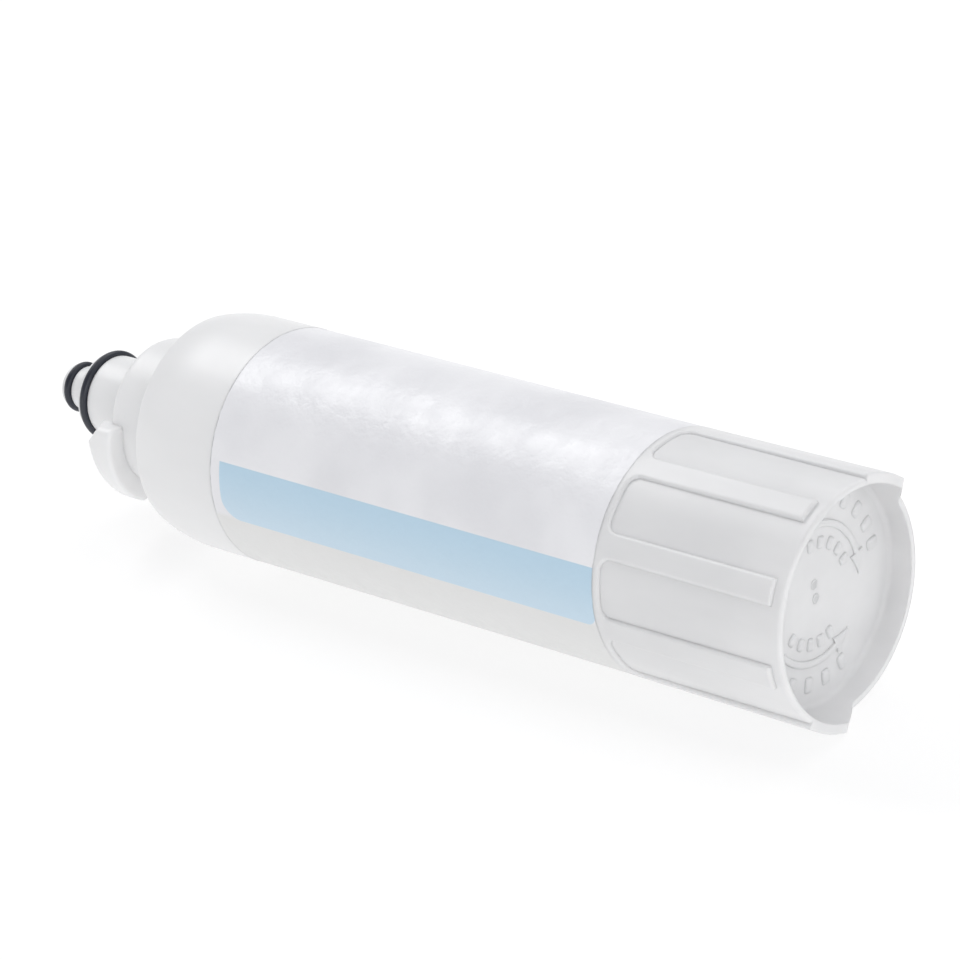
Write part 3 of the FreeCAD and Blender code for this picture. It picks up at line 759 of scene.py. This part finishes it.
@dataclass
class Cartridge:
    """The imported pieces, dressed, and the moulded marks on the end plate, whose face is at plate."""

    plate: float = 189.3 * MM

    def __post_init__(self) -> None:
        """Make the shared groups and finishes."""
        skin, dust = mould_skin(), dust_film()
        tones = ((0.76, 0.76, 0.765), (0.70, 0.70, 0.705))
        # The housing's colour gets a painted glow towards the nozzle.
        self.housing = MouldedPlastic("housing_plastic", *tones, painted_glow=0.38).make(skin, dust)
        self.relief = MouldedPlastic("relief_plastic", *tones, edge=0.12 * MM).make(skin, dust)
        natural = ((0.80, 0.80, 0.78), (0.72, 0.72, 0.70))
        self.caps = MouldedPlastic("cap_plastic", *natural, sheen=0.42).make(skin, dust)
        self.rings = {
            node: SealRubber(f"{node}_rubber", self.middle(node), self.mean(node)).make(skin, dust)
            for node in ("nozzle_o_ring", "tip_o_ring", "spigot_o_ring")
        }
        self.label = LabelFilm().make(dust)
        self.carbon = PressedCarbon().make()
        self.fleece = Fleece().make()

    @staticmethod
    def middle(node: str) -> float:
        """Place of a ring along the axis."""
        low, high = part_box(node)
        return (low.x + high.x) / 2

    @staticmethod
    def mean(node: str) -> float:
        """Radius of a ring's core: half its outside less half its section."""
        low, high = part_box(node)
        return (high.z - low.z) / 2 - (high.x - low.x) / 2

    def dress(self) -> None:
        """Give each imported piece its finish."""
        finishes = {
            "sump_shell": self.housing,
            "head_cap": self.housing,
            "wrap_label": self.label,
            "carbon_block": self.carbon,
            "prefilter_fleece": self.fleece,
            "upper_end_cap": self.caps,
            "lower_end_cap": self.caps,
            **self.rings,
        }
        for node, material in finishes.items():
            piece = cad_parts[node]
            for slot in piece.material_slots:
                slot.material = material
            log.info("%s wears %s", node, material.name)

    def marks(self) -> None:
        """Raised marks on the end plate: which way to turn, plain blocks beside that, and gate marks."""
        relief = Relief(self.plate)
        small = {"wide": 1.05 * MM, "tall": 1.4 * MM}
        shapes = [
            TurnArrow("shut_arrow", Turn.CLOCKWISE, -11.0, 112.0),
            TurnArrow("open_arrow", Turn.ANTICLOCKWISE, 235.0, 91.0, radius=15.4 * MM),
            BlockRow("shut_outer_blocks", 19.6 * MM, 24.0, 84.0, 5),
            BlockRow("open_outer_blocks", 20.0 * MM, 212.0, 163.0, 4),
            BlockRow("shut_inner_blocks", 10.4 * MM, 0.0, 74.0, 5, **small),
            BlockRow("open_inner_blocks", 11.3 * MM, 231.0, 164.0, 5, **small),
            GateMark("upper_gate_mark", (0.0, 1.6 * MM)),
            GateMark("lower_gate_mark", (0.0, -1.6 * MM)),
        ]
        for shape in shapes:
            piece = shape.build(relief)
            piece.data.materials.append(self.relief)
            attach(piece, BODY)
            log.info("%s has %d faces", piece.name, len(piece.data.polygons))


@dataclass(frozen=True)
class Softbox:
    """Rectangular soft light that faces the cartridge's middle."""

    name: str
    place: tuple[float, float, float]
    size: tuple[float, float]
    power: float
    target: tuple[float, float, float] = (0.085, 0.0, 0.0)

    def build(self) -> None:
        """Hang the light at its place, turned to its target."""
        data = bpy.data.lights.new(self.name, "AREA")
        data.shape = "RECTANGLE"
        data.size, data.size_y = self.size
        data.energy = self.power
        lamp = bpy.data.objects.new(self.name, data)
        lamp.location = self.place
        aim = Vector(self.target) - Vector(self.place)
        lamp.rotation_euler = aim.to_track_quat("-Z", "Y").to_euler()
        bpy.context.scene.collection.objects.link(lamp)
        log.info("%s has %.1f W", self.name, self.power)


@dataclass(frozen=True)
class Studio:
    """Plain pale floor, soft lights and the camera at the photograph's place."""

    floor: float
    floor_glow: float = 0.70
    floor_tones: tuple[float, float] = (0.31, 0.33)
    surround: float = 0.41
    surround_tone: tuple[float, float, float] = (0.96, 0.97, 1.0)
    eye: tuple[float, float, float] = (0.72251, -0.62783, 0.44217)
    right: tuple[float, float, float] = (0.74702, 0.65214, -0.12913)
    down: tuple[float, float, float] = (0.20697, -0.41272, -0.88703)
    ahead: tuple[float, float, float] = (-0.63176, 0.63590, -0.44328)
    lens: float = 171.71
    reach: float = 6.0
    flat_share: float = 0.66
    curl: float = 0.12
    steps: int = 41

    def ground(self) -> None:
        """Level sheet under the cartridge that curves up far behind it.

        The height is zero in the middle and grows with the square of the distance past the flat share
        of the sheet's reach.
        """
        side = np.linspace(-self.reach, self.reach, self.steps)
        x, y = np.meshgrid(side, side)
        past = np.maximum(0, np.hypot(x, y) - self.reach * self.flat_share)
        points = np.stack([x, y, self.floor + self.curl * past ** 2], -1).reshape(-1, 3)
        cell = np.arange(self.steps - 1)
        corner = (cell[:, None] * self.steps + cell).reshape(-1)
        faces = np.stack([corner, corner + 1, corner + self.steps + 1, corner + self.steps], -1)
        mesh = bpy.data.meshes.new("floor")
        mesh.from_pydata(points.tolist(), [], faces.tolist())
        mesh.polygons.foreach_set("use_smooth", np.ones(len(faces), bool))
        floor = bpy.data.objects.new("floor", mesh)
        bpy.context.scene.collection.objects.link(floor)
        material = bpy.data.materials.new("floor_sheet")
        material.use_nodes = True
        wires = Wiring(material.node_tree)
        shader = material.node_tree.nodes["Principled BSDF"]
        cloud = wires.noise(wires.place(), 3.0)
        dark, pale = ((level, level, level, 1.0) for level in self.floor_tones)
        tone = wires.mix(cloud, dark, pale)
        wires.tree.links.new(tone, shader.inputs["Base Color"])
        shader.inputs["Roughness"].default_value = 0.9
        shader.inputs["Emission Color"].default_value = (1.0, 1.0, 1.0, 1.0)
        shader.inputs["Emission Strength"].default_value = self.floor_glow
        mesh.materials.append(material)

    def light(self) -> None:
        """Softboxes overhead and behind, a narrow one for the streak, weak fills and a white surround."""
        softboxes = [
            Softbox("overhead", (0.60, 0.30, 1.25), (1.4, 1.0), 4.9),
            Softbox("behind", (-0.20, 0.90, 0.90), (1.0, 0.6), 3.3),
            Softbox("streak", (-0.80, 0.13, 1.08), (0.7, 0.34), 5.4),
            Softbox("end_fill", (1.2, 0.35, 0.25), (0.8, 0.5), 1.2),
            Softbox("front_fill", (1.1, -0.60, 0.50), (0.8, 0.6), 3.2),
            Softbox("low_fill", (0.1, -1.30, 0.12), (1.0, 0.4), 2.0),
        ]
        for softbox in softboxes:
            softbox.build()
        world = bpy.data.worlds.new("surround")
        world.use_nodes = True
        sky = world.node_tree.nodes["Background"]
        sky.inputs["Color"].default_value = (*self.surround_tone, 1.0)
        sky.inputs["Strength"].default_value = self.surround
        bpy.context.scene.world = world
        bpy.context.scene.view_settings.view_transform = "Standard"

    def camera(self) -> None:
        """Camera with the photograph's place, direction and lens."""
        data = bpy.data.cameras.new("camera")
        data.lens = self.lens
        data.sensor_width = 36.0
        data.clip_start, data.clip_end = 0.05, 50.0
        camera = bpy.data.objects.new("camera", data)
        axes = Matrix((self.right, -Vector(self.down), -Vector(self.ahead))).transposed()
        camera.matrix_world = Matrix.Translation(self.eye) @ axes.to_4x4()
        bpy.context.scene.collection.objects.link(camera)
        bpy.context.scene.camera = camera


def main() -> None:
    """Dress the cartridge, add its marks, and set the floor, the lights and the camera."""
    logging.basicConfig(level=logging.INFO, format="%(name)s: %(message)s")
    cartridge = Cartridge()
    cartridge.dress()
    cartridge.marks()
    studio = Studio(floor=CAD_BOX[0].z)
    studio.ground()
    studio.light()
    studio.camera()


if __name__ == "__main__":
    main()
